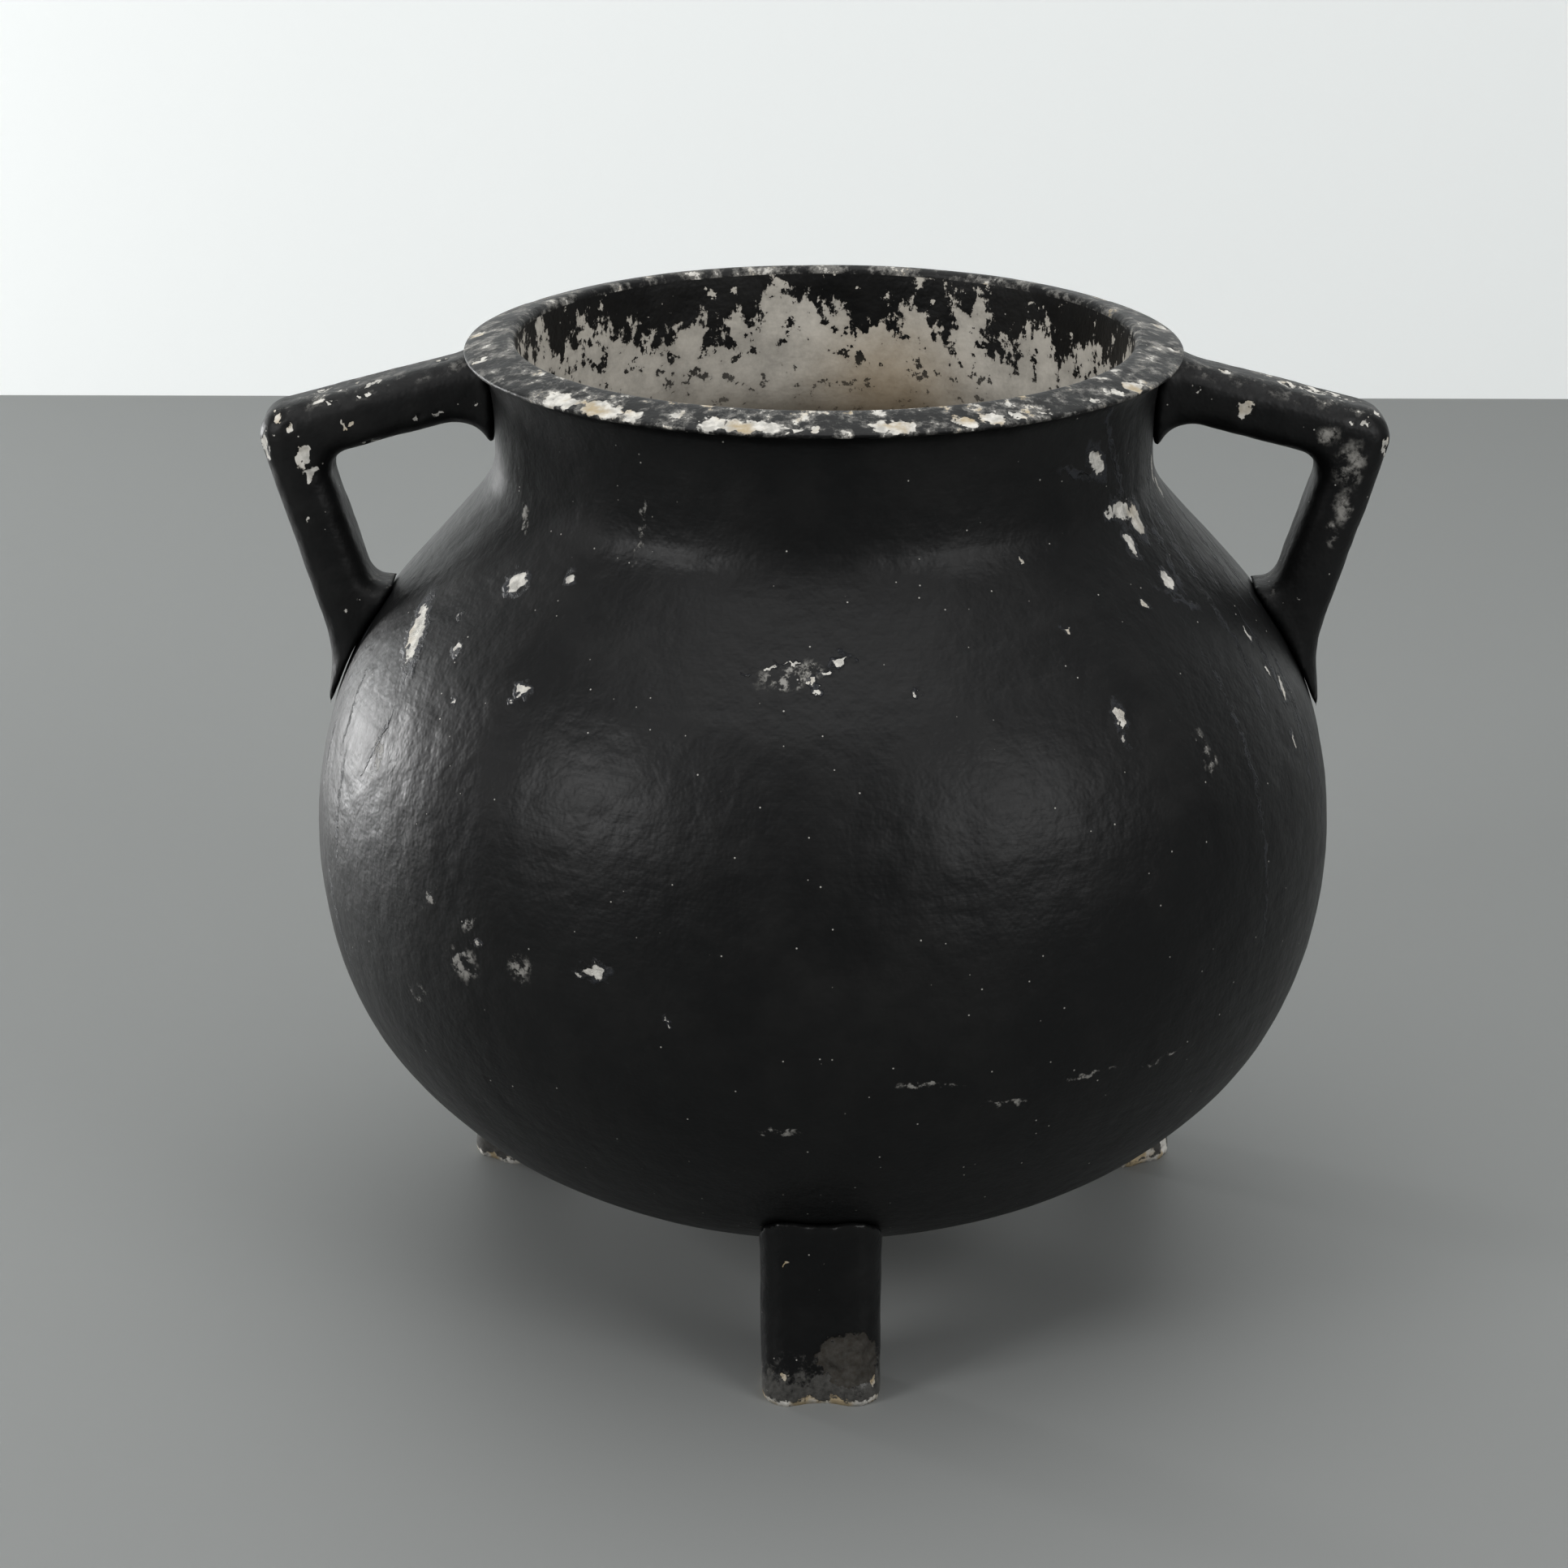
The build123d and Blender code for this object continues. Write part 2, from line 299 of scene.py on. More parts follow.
class Field:
    """A socket of a material. Arithmetic on it adds Math nodes."""

    def __init__(self, finish, socket):
        self.finish = finish
        self.socket = socket

    def math(self, operation, *values):
        sockets = dict(enumerate(values))
        return self.finish.node("ShaderNodeMath", {"operation": operation}, sockets)

    def __add__(self, other):
        return self.math("ADD", self, other)

    def __radd__(self, other):
        return self.math("ADD", other, self)

    def __sub__(self, other):
        return self.math("SUBTRACT", self, other)

    def __rsub__(self, other):
        return self.math("SUBTRACT", other, self)

    def __mul__(self, other):
        return self.math("MULTIPLY", self, other)

    def __rmul__(self, other):
        return self.math("MULTIPLY", other, self)

    def largest(self, other):
        return self.math("MAXIMUM", self, other)

    def smallest(self, other):
        return self.math("MINIMUM", self, other)


class Finish:
    """A material that is built from nodes, one call for each node."""

    def __init__(self, name):
        self.material = bpy.data.materials.new(name)
        self.material.use_nodes = True
        self.tree = self.material.node_tree
        self.tree.nodes.clear()
        self.place = self.node("ShaderNodeTexCoord", output="Object")

    def node(self, kind, settings=None, sockets=None, output=0):
        made = self.tree.nodes.new(kind)
        for name, value in (settings or {}).items():
            setattr(made, name, value)
        for name, value in (sockets or {}).items():
            if isinstance(value, Field):
                self.tree.links.new(value.socket, made.inputs[name])
            else:
                made.inputs[name].default_value = value
        return Field(self, made.outputs[output])

    def noise(self, scale, detail=3.0, roughness=0.5, stretch=None):
        place = self.place
        if stretch:
            place = self.node("ShaderNodeMapping", sockets={"Vector": place, "Scale": stretch})
        sockets = {"Vector": place, "Scale": scale, "Detail": detail, "Roughness": roughness}
        return self.node("ShaderNodeTexNoise", {"noise_dimensions": "3D"}, sockets)

    def ramp(self, value, low, high):
        """0 where the value is at or under low and 1 where it is at or over high."""
        sockets = {"Value": value, "From Min": low, "From Max": high}
        return self.node("ShaderNodeMapRange", {"interpolation_type": "SMOOTHSTEP"}, sockets)

    def mix(self, share, first, second):
        settings = {"data_type": "RGBA", "clamp_factor": True}
        return self.node("ShaderNodeMix", settings, {0: share, 6: first, 7: second}, output=2)

    def bump(self, height):
        return self.node("ShaderNodeBump", sockets={"Height": height, "Distance": 1.0, "Strength": 1.0})

    def close(self, colour, roughness, normal, specular):
        sockets = {"Base Color": colour, "Roughness": roughness, "Normal": normal}
        sockets["Specular IOR Level"] = specular
        surface = self.node("ShaderNodeBsdfPrincipled", sockets=sockets)
        self.node_out(surface)
        return self.material

    def node_out(self, surface):
        out = self.tree.nodes.new("ShaderNodeOutputMaterial")
        self.tree.links.new(surface.socket, out.inputs["Surface"])


def opaque(colour):
    return (*colour[:3], 1.0)


def dimmed(colour, factor):
    return opaque([channel * factor for channel in colour[:3]])


def node_point(node, start, way):
    """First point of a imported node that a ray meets."""
    hit, point, normal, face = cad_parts[node].ray_cast(start, way)
    if not hit:
        raise RuntimeError(f"the ray misses {node}")
    return point


def skin_point(heading, height, inside=False):
    """Point of the pot's wall at a heading from the front foot and a height."""
    turn = math.radians(heading)
    outwards = Vector((math.sin(turn), -math.cos(turn), 0))
    axis = Vector((0, 0, height))
    if inside:
        return node_point("pot_body", axis, outwards)
    return node_point("pot_body", axis + outwards, -outwards)


def seen_point(node, across, down):
    """Point of a node that shows at a pixel of the photo, in millimetres."""
    middle = PHOTO_SIDE / 2
    depth = PHOTO_SIDE * CAMERA_LENS / CAMERA_SENSOR
    way = Euler(CAMERA_TURN).to_matrix() @ Vector((across - middle, middle - down, -depth))
    return node_point(node, Vector(CAMERA_PLACE), way.normalized()) * 1000


def pot_rows(seen, placed):
    """Rows of the pot's spots, seen and placed, where a seen one gets a whole heading and height."""
    rows = []
    for across, down, *rest in seen.values():
        point = seen_point("pot_body", across, down)
        heading = math.degrees(math.atan2(point.x, -point.y))
        rows.append((round(heading), round(point.z), *rest))
    return rows + list(placed)


def pot_spots(rows):
    """Centre, half sizes, tilt and heading of each of the pot's rows."""
    spots = []
    for heading, height, width, tallness, tilt in rows:
        centre = skin_point(heading, height / 1000)
        spots.append((centre, width * CHIP_SHARE, tallness * CHIP_SHARE, tilt, heading))
    return spots


def lip_rows():
    """Heading and half sizes of the lip's chips."""
    seen = pot_rows(LIP_CHIPS_SEEN, ())
    return [(heading, width, tallness) for heading, height, width, tallness in seen] + list(LIP_CHIPS_PLACED)


def lip_spots(rows):
    """Spots of the lip's rows, which lie on its outer edge."""
    edge = LIP_RADIUS - LIP_EDGE_INSET
    spots = []
    for heading, width, tallness in rows:
        turn = math.radians(heading)
        centre = Vector((math.sin(turn) * edge, -math.cos(turn) * edge, RIM_HEIGHT - LIP_EDGE_FALL))
        spots.append((centre, width * CHIP_SHARE, tallness * CHIP_SHARE, 0, heading))
    return spots


def near_spots(node, seen, placed):
    """Spots of a handle or foot: those seen on it, at whole millimetres, and those in its own box."""
    spots = []
    for across, down, width, tallness, tilt in seen.get(node, {}).values():
        centre = Vector([round(value) for value in seen_point(node, across, down)]) / 1000
        spots.append((centre, width / 1000, tallness / 1000, tilt, 0))
    low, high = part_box(node)
    for point, width, tallness, tilt in placed:
        centre = Vector(point) / 1000
        if all(low[axis] - 0.005 < centre[axis] < high[axis] + 0.005 for axis in range(3)):
            spots.append((centre, width / 1000, tallness / 1000, tilt, 0))
    return spots


def sector_of(heading):
    """Number of the pot's sector that holds a heading. Sector 0 faces the front."""
    return round(heading * SECTORS / 360) % SECTORS


def sector_rows(rows, sector):
    """The rows of one sector and of a margin on both sides of it."""
    middle = sector * 360 / SECTORS
    reach = 180 / SECTORS + SECTOR_MARGIN
    return [row for row in rows if abs((row[0] - middle + 180) % 360 - 180) < reach]


class PaintedClay(Finish):
    """Satin black paint over fired clay, with the masks that all the painted pieces share."""

    def __init__(self, name):
        super().__init__(name)
        self.colours = bpy.context.scene.planter_colours
        self.coat = bpy.context.scene.planter_sizes.paint_coat
        split = self.tree.nodes.new("ShaderNodeSeparateXYZ")
        self.tree.links.new(self.place.socket, split.inputs[0])
        self.y, self.z = (Field(self, split.outputs[name]) for name in ("Y", "Z"))
        flat = self.vector("MULTIPLY", self.place, (1, 1, 0))
        self.radius = self.vector("LENGTH", flat)
        sockets = {"Vector": self.place, "Scale": 250.0, "Detail": 5.0}
        wander = self.node("ShaderNodeTexNoise", sockets=sockets, output="Color")
        centred = self.vector("SUBTRACT", wander, (0.5, 0.5, 0.5))
        self.ragged = self.vector("ADD", self.place, self.vector("SCALE", centred, scale=0.0086))
        self.crumb = self.noise(520.0, 2.0, 0.6)

    def vector(self, operation, first, second=None, scale=None):
        sockets = {0: first}
        if second is not None:
            sockets[1] = second
        if scale is not None:
            sockets["Scale"] = scale
        output = "Value" if operation in ("LENGTH", "DISTANCE", "DOT_PRODUCT") else "Vector"
        return self.node("ShaderNodeVectorMath", {"operation": operation}, sockets, output)

    def spots(self, rows):
        """Distance to the nearest spot, where 1 is a spot's edge.

        Each step leans a very little on the one before it, which keeps few values in use at a time.
        """
        nearest = self.z + 9.0
        place = self.ragged
        for centre, width, tallness, tilt, heading in rows:
            sockets = {
                "Vector": place,
                "Location": centre,
                "Rotation": (0.0, math.radians(-tilt), math.radians(heading)),
                "Scale": (width, max(width, tallness), tallness),
            }
            local = self.node("ShaderNodeMapping", {"vector_type": "TEXTURE"}, sockets)
            distance = self.vector("LENGTH", local)
            nearest = distance.smallest(nearest)
            lean = {0: nearest, 1: (1e-9, 1e-9, 1e-9), 2: self.ragged}
            place = self.node("ShaderNodeVectorMath", {"operation": "MULTIPLY_ADD"}, lean)
        return nearest

    def inside_of(self, distance, edge=1.0, soft=0.08):
        """1 inside the spots and 0 outside them, with a crumbling edge."""
        return self.ramp(distance + (self.crumb - 0.5) * 0.4, edge + soft, edge - soft)

    def dust(self):
        """Fine pale specks of dust."""
        sockets = {"Vector": self.place, "Scale": 230.0}
        near = self.node("ShaderNodeTexVoronoi", sockets=sockets, output="Distance")
        pick = self.node("ShaderNodeTexVoronoi", sockets=sockets, output="Color")
        chance = self.vector("DOT_PRODUCT", pick, (1, 0, 0))
        return self.ramp(near, 0.09, 0.05) * self.ramp(chance, 0.8, 0.82)

    def clay_colour(self, old):
        blotch = self.noise(230.0, 3.0, 0.6)
        clean = self.mix(
            self.ramp(blotch, 0.35, 0.65),
            opaque(self.colours.clay),
            dimmed(self.colours.clay, 0.62),
        )
        return self.mix(old, clean, opaque(self.colours.old_clay))

    def dress(self, bare, lifted, worn, cracks, streaks, old=0.2, under=None, gloss=0.0):
        """Puts paint, wear, chips, cracks and dust together into the surface."""
        patch = self.noise(9.0, 4.0, 0.62)
        cloud = self.noise(46.0, 4.0, 0.65)
        weave = self.noise(330.0, 2.0, 0.6)
        fade = self.ramp(patch * 0.6 + cloud * 0.4, 0.42, 0.72)
        paint = self.mix(fade, opaque(self.colours.paint), opaque(self.colours.faded))
        paint = self.mix(worn * (0.4 + cloud * 0.7), paint, dimmed(self.colours.clay, 0.5))
        paint = self.mix(lifted * 0.5, paint, opaque(self.colours.flaking))
        dust = self.dust()
        paint = self.mix(dust * 0.55, paint, opaque(self.colours.clay))
        colour = self.mix(bare, paint, self.clay_colour(old))
        colour = self.mix(cracks, colour, dimmed(self.colours.paint, 0.3))
        if under:
            share, below = under
            colour = self.mix(share, colour, below)
            bare = bare.largest(share)
        roughness = 0.35 - gloss + fade * 0.1 + weave * 0.08 + worn * 0.15 + streaks * 0.08
        roughness = roughness.largest(bare * 0.85)
        height = cloud * 0.0011 + patch * 0.003 + weave * 0.00005 + streaks * 0.00012 + self.crumb * 0.00003
        height = height + (lifted - bare) * self.coat - cracks * 0.0005 + worn * self.crumb * 0.00025
        return self.close(colour, roughness, self.bump(height), PAINT_SPECULAR)


def painted_wall(sector):
    """One sector of the pot's outside: brush streaks round it, and its own chips and cracks."""
    paint = PaintedClay(f"painted wall {sector}")
    streaks = paint.noise(1.0, 5.0, 0.65, stretch=(7.0, 7.0, 260.0))
    flakes = paint.noise(120.0, 6.0, 0.72)
    chips = paint.spots(pot_spots(sector_rows(pot_rows(POT_CHIPS_SEEN, POT_CHIPS_PLACED), sector)))
    bare = paint.inside_of(chips)
    lifted = paint.inside_of(chips, 1.6, 0.3) * paint.ramp(flakes, 0.4, 0.55)
    scrape_rows = sector_rows(pot_rows(POT_SCRAPES_SEEN, POT_SCRAPES_PLACED), sector)
    scrapes = paint.inside_of(paint.spots(pot_spots(scrape_rows)), 1.0, 0.4)
    worn = scrapes * paint.ramp(paint.noise(210.0, 5.0, 0.7), 0.48, 0.6)
    crack_rows = sector_rows(pot_rows(POT_CRACKS_SEEN, POT_CRACKS_PLACED), sector)
    crack_lines = paint.spots(pot_spots(crack_rows))
    cracks = paint.inside_of(crack_lines, 1.0, 0.25)
    lifted = lifted.largest(paint.inside_of(crack_lines, 3.0, 1.0) * paint.ramp(flakes, 0.38, 0.55))
    old = paint.ramp(paint.noise(60.0, 2.0, 0.5), 0.5, 0.75) * 0.5
    return paint.dress(bare, lifted, worn, cracks, streaks, old)


def painted_lip(sector):
    """One sector of the lip, chipped all along, most of all at the front and on its inner edge."""
    paint = PaintedClay(f"painted lip {sector}")
    streaks = paint.noise(1.0, 5.0, 0.65, stretch=(7.0, 7.0, 260.0))
    flakes = paint.noise(120.0, 6.0, 0.72)
    chips = paint.inside_of(paint.spots(lip_spots(sector_rows(lip_rows(), sector))))
    on_lip = paint.ramp(paint.z, RIM_HEIGHT - 0.0085, RIM_HEIGHT - 0.0055)
    front = paint.ramp(paint.y, 0.0, -0.1)
    inner_edge = paint.ramp(paint.radius, LIP_RADIUS - 0.0125, LIP_RADIUS - 0.0155)
    scattered = paint.ramp(flakes + front * 0.045 + inner_edge * 0.03, 0.63, 0.645) * on_lip
    worn = on_lip * paint.ramp(flakes, 0.46, 0.62) * 0.8
    old = paint.ramp(paint.noise(90.0, 4.0, 0.6), 0.46, 0.7)
    nothing = paint.z * 0.0
    return paint.dress(chips.largest(scattered), nothing, worn, nothing, streaks, old)


def bare_inside():
    """The pot's inside: paint that ran down from the lip over bare, soil-stained clay."""
    paint = PaintedClay("bare inside")
    colours = paint.colours
    runs = paint.noise(1.0, 6.0, 0.7, stretch=(62.0, 62.0, 24.0))
    drips = paint.noise(1.0, 2.0, 0.5, stretch=(120.0, 120.0, 9.0))
    blots = paint.noise(150.0, 5.0, 0.65)
    depth = (RIM_HEIGHT - 0.021 - paint.z) * 42.0
    covered = 0.5 - depth + (runs - 0.5) * 5.2 + (blots - 0.5) * 3.0 + paint.ramp(drips, 0.6, 0.75) * 0.5
    painted = paint.ramp(covered, 0.42, 0.58)
    blot_share = paint.ramp(paint.z, RIM_HEIGHT - 0.09, RIM_HEIGHT - 0.03)
    blotted = paint.ramp(blots + blot_share * 0.05, 0.632, 0.645)
    chipped = paint.ramp(blots, 0.37, 0.355)
    painted = (painted * (1 - chipped)).largest(blotted * blot_share)
    mottle = paint.noise(75.0, 6.0, 0.7)
    wall = paint.mix(
        paint.ramp(mottle, 0.3, 0.72),
        opaque(colours.inner_clay),
        dimmed(colours.inner_clay, 0.62),
    )
    stain_centre = skin_point(167, 0.318, inside=True)
    rust = paint.ramp(paint.vector("DISTANCE", paint.ragged, stain_centre), 0.05, 0.0)
    low = paint.ramp(paint.z, RIM_HEIGHT - 0.04, RIM_HEIGHT - 0.12)
    wall = paint.mix(low * (0.2 + mottle * 0.7), wall, dimmed(colours.soil, 1.6))
    wall = paint.mix(rust * 0.6, wall, dimmed(colours.soil, 1.9))
    streaks = paint.noise(1.0, 3.0, 0.6, stretch=(20.0, 20.0, 160.0))
    nothing = paint.z * 0.0
    return paint.dress(nothing, nothing, nothing, nothing, streaks, under=(1 - painted, wall))


def painted_handle(side):
    """A handle: paint rubbed through along its top and elbow, and its upward faces greyed in patches, partly
    wear and partly a painted sheen of the light from above.
    """
    node = f"handle_{side}"
    paint = PaintedClay(f"painted handle {side}")
    streaks = paint.noise(1.0, 3.0, 0.6, stretch=(40.0, 160.0, 90.0))
    flakes = paint.noise(150.0, 6.0, 0.72)
    up = paint.node("ShaderNodeNewGeometry", output="Normal")
    facing_up = paint.ramp(paint.vector("DOT_PRODUCT", up, (0, 0, 1)), 0.45, 0.85)
    out_here = paint.ramp(paint.radius, 0.165, 0.2)
    bare = paint.inside_of(paint.spots(near_spots(node, HANDLE_CHIPS_SEEN, HANDLE_CHIPS_PLACED)))
    rubbed = paint.ramp(flakes + facing_up * out_here * 0.085, 0.7, 0.715)
    scrapes = paint.inside_of(
        paint.spots(near_spots(node, HANDLE_SCRAPES_SEEN, HANDLE_SCRAPES_PLACED)),
        1.0,
        0.5,
    )
    # Upward faces greyed towards clay in patches: partly wear and dust, partly a painted sheen of the light
    # from above.
    worn = (scrapes * paint.ramp(flakes, 0.42, 0.6)).largest(facing_up * paint.ramp(flakes, 0.5, 0.66) * 0.5)
    old = paint.ramp(paint.noise(70.0, 2.0, 0.5), 0.52, 0.75)
    cracks = paint.ramp(paint.noise(1.0, 4.0, 0.7, stretch=(260.0, 260.0, 60.0)), 0.74, 0.77)
    lifted = paint.z * 0.0
    return paint.dress(bare.largest(rubbed), lifted, worn, cracks, streaks, old)


def painted_foot(place):
    """A foot: scuffed paint, broken away round the sole."""
    node = f"foot_{place}"
    paint = PaintedClay(f"painted foot {place}")
    streaks = paint.noise(1.0, 4.0, 0.65, stretch=(120.0, 120.0, 34.0))
    flakes = paint.noise(170.0, 6.0, 0.72)
    sole = paint.ramp(paint.z + (flakes - 0.5) * 0.014, 0.0026, 0.0016)
    scuffed = paint.ramp(paint.z + (flakes - 0.5) * 0.05, 0.016, 0.009)
    chips = paint.inside_of(paint.spots(near_spots(node, FOOT_CHIPS_SEEN, FOOT_CHIPS_PLACED)))
    broken = paint.inside_of(paint.spots(near_spots(node, {}, (FOOT_BREAK,))), 1.0, 0.05)
    rubbed = paint.ramp(flakes, 0.73, 0.75)
    stone = paint.mix(paint.crumb, dimmed(paint.colours.soil, 0.1), dimmed(paint.colours.clay, 0.1))
    old = paint.ramp(paint.noise(110.0, 2.0, 0.5), 0.4, 0.6)
    worn = scuffed * paint.crumb * 0.45
    nothing = paint.z * 0.0
    bare = chips.largest(sole).largest(rubbed)
    return paint.dress(bare, nothing, worn, nothing, streaks, old, (broken * (1 - chips), stone), 0.14)


def select_only(*objects):
    bpy.ops.object.select_all(action="DESELECT")
    for each in objects:
        each.select_set(True)
    bpy.context.view_layer.objects.active = objects[0]


def copy_of_node(node, name):
    """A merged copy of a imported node, as a start for the piece that replaces it."""
    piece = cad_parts[node].copy()
    piece.data = piece.data.copy()
    piece.name = name
    piece.data.name = name
    piece.data.materials.clear()
    bpy.context.collection.objects.link(piece)
    for key in list(piece.keys()):
        del piece[key]
    piece.parent = None
    select_only(piece)
    bpy.ops.object.mode_set(mode="EDIT")
    bpy.ops.mesh.select_all(action="SELECT")
    bpy.ops.mesh.remove_doubles(threshold=0.00001)
    bpy.ops.object.mode_set(mode="OBJECT")
    return piece


def modify(piece, kind, **settings):
    """Adds a modifier, sets it and applies it."""
    select_only(piece)
    modifier = piece.modifiers.new(kind.title(), kind)
    for name, value in settings.items():
        setattr(modifier, name, value)
    bpy.ops.object.modifier_apply(modifier=modifier.name)


def marks(name, size, contrast=1.0):
    """A cloudy pattern for hand-made unevenness."""
    texture = bpy.data.textures.new(name, "CLOUDS")
    texture.noise_scale = size
    texture.noise_depth = 2
    texture.contrast = contrast
    return texture


def dent(piece, spots, depth):
    """Breaks the surface away inside the spots, unevenly, down to a depth."""
    count = len(piece.data.vertices)
    points = np.empty(count * 3)
    piece.data.vertices.foreach_get("co", points)
    points = points.reshape(-1, 3)
    weight = np.zeros(count)
    for centre, width, tallness, tilt, heading in spots:
        turn = Matrix.Rotation(math.radians(heading), 3, "Z") @ Matrix.Rotation(math.radians(-tilt), 3, "Y")
        reach = np.array((width, max(width, tallness), tallness)) * 1.1
        local = (points - np.array(centre)) @ np.array(turn) / reach
        weight = np.maximum(weight, 1 - (local ** 2).sum(axis=1))
    group = piece.vertex_groups.new(name="dents")
    for index in np.flatnonzero(weight > 0.0):
        group.add([int(index)], float(min(1.0, weight[index] * 1.8)), "REPLACE")
    texture = marks(f"{piece.name} dents", 0.004, 1.6)
    modify(piece, "DISPLACE", vertex_group="dents", texture=texture, strength=-depth, mid_level=0.0)


def finish_piece(piece, node, *materials):
    select_only(piece)
    bpy.ops.object.shade_smooth()
    for material in materials:
        piece.data.materials.append(material)
    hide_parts(node)
    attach(piece, "root")


def throw_pot(sizes):
    """Spins the pot's own section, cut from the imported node, into an evenly meshed pot."""
    pot = copy_of_node("pot_body", "thrown_pot")
    bpy.ops.object.mode_set(mode="EDIT")
    for normal in ((0, 1, 0), (1, 0, 0)):
        bpy.ops.mesh.select_all(action="SELECT")
        both_sides = normal[1] == 1
        bpy.ops.mesh.bisect(plane_co=(0, 0, 0), plane_no=normal, clear_inner=True, clear_outer=both_sides)
    bpy.ops.mesh.select_all(action="SELECT")
    bpy.ops.mesh.remove_doubles(threshold=sizes.section_step)
    bpy.ops.object.mode_set(mode="OBJECT")
    modify(pot, "SUBSURF", levels=1, render_levels=1)
    bpy.ops.object.mode_set(mode="EDIT")
    bpy.ops.mesh.select_all(action="SELECT")
    bpy.ops.mesh.spin(steps=sizes.turns, angle=math.tau, center=(0, 0, 0), axis=(0, 0, 1))
    bpy.ops.mesh.select_all(action="SELECT")
    bpy.ops.mesh.remove_doubles(threshold=0.00002)
    bpy.ops.mesh.normals_make_consistent(inside=False)
    bpy.ops.object.mode_set(mode="OBJECT")
    return pot


def ridge_wall(pot, sizes):
    """Lays throwing ridges round the wall and lets it wander, always inwards."""
    bpy.ops.object.empty_add(location=(0, 0, 0))
    stretch = bpy.context.object
    stretch.scale = (8.0, 8.0, 0.3)
    bpy.context.view_layer.update()
    ridges = {
        "texture": marks("throwing ridges", 0.05),
        "texture_coords": "OBJECT",
        "texture_coords_object": stretch,
    }
    modify(pot, "DISPLACE", strength=sizes.ridges, mid_level=1.0, **ridges)
    bpy.data.objects.remove(stretch)
    modify(pot, "DISPLACE", texture=marks("wall wobble", 0.09), strength=sizes.wobble, mid_level=1.0)


def share_out(pot):
    """Gives each face of the pot its finish: bare inside, or its sector's wall or lip."""
    for face in pot.data.polygons:
        middle = face.center
        inwards = face.normal.xy.dot(middle.xy) < 0
        on_floor = face.normal.z > 0.5 and middle.z < RIM_HEIGHT / 2
        if on_floor or (inwards and middle.z < RIM_HEIGHT - 0.006):
            continue
        sector = sector_of(math.degrees(math.atan2(middle.x, -middle.y)))
        on_lip = middle.z > RIM_HEIGHT - LIP_FACE_DEPTH
        face.material_index = 1 + sector + SECTORS * on_lip


class PLANTER_OT_pot(bpy.types.Operator):
    """Spin the pot's own section into a thrown pot, chip its lip and paint it."""

    bl_idname = "planter.pot"
    bl_label = "Pot"

    def execute(self, context):
        sizes = context.scene.planter_sizes
        pot = throw_pot(sizes)
        ridge_wall(pot, sizes)
        dent(pot, lip_spots(lip_rows()), sizes.lip_chip_depth)
        walls = [painted_wall(sector) for sector in range(SECTORS)]
        lips = [painted_lip(sector) for sector in range(SECTORS)]
        finish_piece(pot, "pot_body", bare_inside(), *walls, *lips)
        share_out(pot)
        return {"FINISHED"}


def press_by_hand(node, name, spots, depth, material):
    """Remeshes a copy of a bar or foot, softens it, dents it and spreads its joint onto the pot."""
    sizes = bpy.context.scene.planter_sizes
    piece = copy_of_node(node, name)
    modify(piece, "REMESH", mode="VOXEL", voxel_size=sizes.grain)
    modify(piece, "SMOOTH", factor=0.5, iterations=6)
    joint = piece.vertex_groups.new(name="joint")
    joint.add(range(len(piece.data.vertices)), 1.0, "REPLACE")
    modify(
        piece,
        "VERTEX_WEIGHT_PROXIMITY",
        vertex_group="joint",
        target=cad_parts["pot_body"],
        proximity_mode="GEOMETRY",
        proximity_geometry={"FACE"},
        min_dist=sizes.slip_reach,
        max_dist=0.0,
        falloff_type="SHARP",
    )
    modify(piece, "DISPLACE", texture=marks(name, 0.02), strength=sizes.finger_marks, mid_level=1.0)
    modify(piece, "DISPLACE", vertex_group="joint", strength=sizes.slip_spread, mid_level=0.0)
    modify(piece, "SMOOTH", vertex_group="joint", factor=0.5, iterations=10)
    dent(piece, spots, depth)
    finish_piece(piece, node, material)
    return piece


class PLANTER_OT_handles(bpy.types.Operator):
    """Press both handles and paint them."""

    bl_idname = "planter.handles"
    bl_label = "Handles"

    def execute(self, context):
        depth = context.scene.planter_sizes.knock_depth
        for side in ("left", "right"):
            node = f"handle_{side}"
            chips = near_spots(node, HANDLE_CHIPS_SEEN, HANDLE_CHIPS_PLACED)
            press_by_hand(node, f"bent_handle_{side}", chips, depth, painted_handle(side))
        return {"FINISHED"}


class PLANTER_OT_feet(bpy.types.Operator):
    """Press the three feet, break the front one's face and paint them."""

    bl_idname = "planter.feet"
    bl_label = "Feet"

    def execute(self, context):
        sizes = context.scene.planter_sizes
        for place in ("front", "rear_left", "rear_right"):
            node = f"foot_{place}"
            chips = near_spots(node, FOOT_CHIPS_SEEN, (FOOT_BREAK, *FOOT_CHIPS_PLACED))
            foot = press_by_hand(node, f"fluted_{node}", chips, sizes.break_depth, painted_foot(place))
            for vertex in foot.data.vertices:
                if vertex.co.z < sizes.grain:
                    vertex.co.z = 0.0
        return {"FINISHED"}


def add_lamp(name, heading, elevation, distance, size, energy):
    """An area lamp that looks at the pot's middle from a heading and an elevation."""
    turn = math.radians(heading)
    lift = math.radians(elevation)
    way = Vector((math.sin(turn) * math.cos(lift), -math.cos(turn) * math.cos(lift), math.sin(lift)))
    bpy.ops.object.light_add(type="AREA", location=way * distance + Vector((0, 0, RIM_HEIGHT / 2)))
    lamp = bpy.context.object
    lamp.name = name
    lamp.data.size = size
    lamp.data.energy = energy
    lamp.rotation_euler = way.to_track_quat("Z", "Y").to_euler()


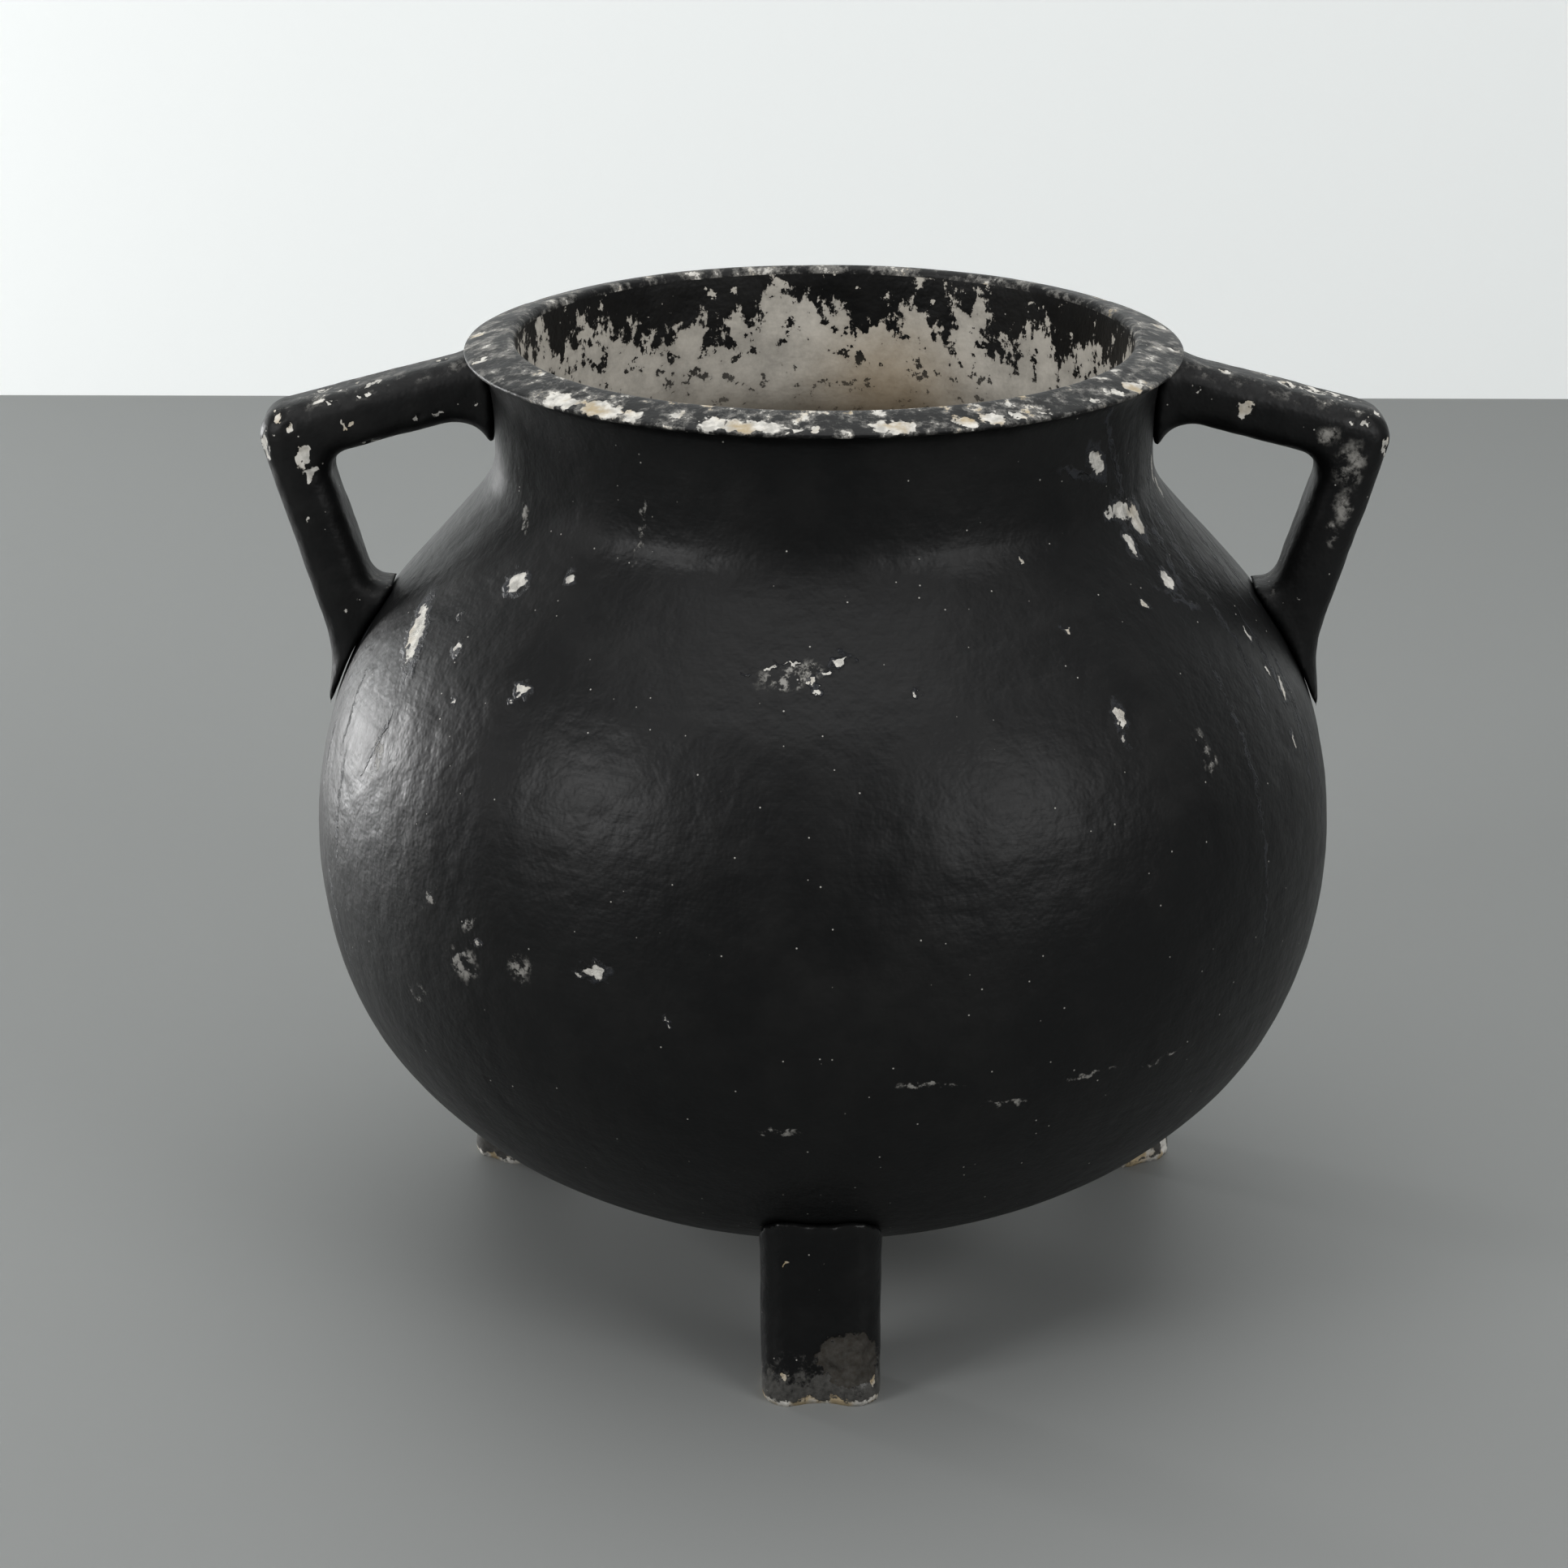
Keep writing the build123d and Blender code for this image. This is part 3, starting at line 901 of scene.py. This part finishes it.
class PLANTER_OT_stage(bpy.types.Operator):
    """Lay the floor, the backdrop, the lamps and the camera."""

    bl_idname = "planter.stage"
    bl_label = "Stage"

    def execute(self, context):
        colours = context.scene.planter_colours
        self.add_plane("floor", 12.0, (0, 0, 0), 0.0, colours.floor, 0.55)
        self.add_plane("backdrop", 12.0, (0, BACKDROP_Y, 0), math.pi / 2, colours.backdrop, 0.9, 0.16)
        self.light_world(context)
        add_lamp("ceiling lamp", -10, 84, 2.4, 2.6, 45.0)
        add_lamp("left lamp", -54, 24, 2.3, 0.7, 19.0)
        add_lamp("right lamp", 44, 25, 2.4, 1.0, 19.0)
        add_lamp("far left lamp", -122, 0, 2.2, 0.3, 27.0)
        bpy.ops.object.camera_add(location=CAMERA_PLACE, rotation=CAMERA_TURN)
        camera = context.object
        camera.data.sensor_width = CAMERA_SENSOR
        camera.data.lens = CAMERA_LENS
        context.scene.camera = camera
        context.scene.view_settings.view_transform = "Standard"
        return {"FINISHED"}

    def add_plane(self, name, size, location, lean, colour, roughness, glow=0.0):
        bpy.ops.object.select_all(action="DESELECT")
        bpy.ops.mesh.primitive_plane_add(size=size, location=location, rotation=(lean, 0, 0))
        plane = bpy.context.object
        plane.name = name
        plane.data.materials.append(self.one_sided(name, colour, roughness, glow))

    def one_sided(self, name, colour, roughness, glow):
        """Plain paint that can be looked and lit through from behind."""
        finish = Finish(name)
        sockets = {"Base Color": opaque(colour), "Roughness": roughness, "Specular IOR Level": 0.25}
        sockets.update({"Emission Color": opaque(colour), "Emission Strength": glow})
        front = finish.node("ShaderNodeBsdfPrincipled", sockets=sockets)
        back = finish.node("ShaderNodeBsdfTransparent")
        behind = finish.node("ShaderNodeNewGeometry", output="Backfacing")
        mixed = finish.node("ShaderNodeMixShader", sockets={0: behind, 1: front, 2: back})
        finish.node_out(mixed)
        return finish.material

    def light_world(self, context):
        """A dim world that looks white to the camera."""
        world = bpy.data.worlds.new("studio")
        world.use_nodes = True
        tree = world.node_tree
        background = tree.nodes["Background"]
        seen = tree.nodes.new("ShaderNodeLightPath")
        shade = tree.nodes.new("ShaderNodeMix")
        shade.data_type = "RGBA"
        shade.inputs[6].default_value = opaque((WORLD_LIGHT,) * 3)
        shade.inputs[7].default_value = opaque(context.scene.planter_colours.backdrop)
        tree.links.new(seen.outputs["Is Camera Ray"], shade.inputs[0])
        tree.links.new(shade.outputs[2], background.inputs["Color"])
        context.scene.world = world


PIECES = (PLANTER_OT_pot, PLANTER_OT_handles, PLANTER_OT_feet, PLANTER_OT_stage)


class PLANTER_PT_panel(bpy.types.Panel):
    bl_label = "Planter"
    bl_idname = "PLANTER_PT_panel"
    bl_space_type = "VIEW_3D"
    bl_region_type = "UI"
    bl_category = "Planter"

    def draw(self, context):
        for group in (context.scene.planter_sizes, context.scene.planter_colours):
            for name in group.__annotations__:
                self.layout.prop(group, name)
        for piece in PIECES:
            self.layout.operator(piece.bl_idname)


CLASSES = (PlanterSizes, PlanterColours, *PIECES, PLANTER_PT_panel)


def register():
    for each in CLASSES:
        bpy.utils.register_class(each)
    bpy.types.Scene.planter_sizes = bpy.props.PointerProperty(type=PlanterSizes)
    bpy.types.Scene.planter_colours = bpy.props.PointerProperty(type=PlanterColours)


def unregister():
    del bpy.types.Scene.planter_colours
    del bpy.types.Scene.planter_sizes
    for each in reversed(CLASSES):
        bpy.utils.unregister_class(each)


def main():
    register()
    bpy.ops.planter.pot()
    bpy.ops.planter.handles()
    bpy.ops.planter.feet()
    bpy.ops.planter.stage()


if __name__ == "__main__":
    main()
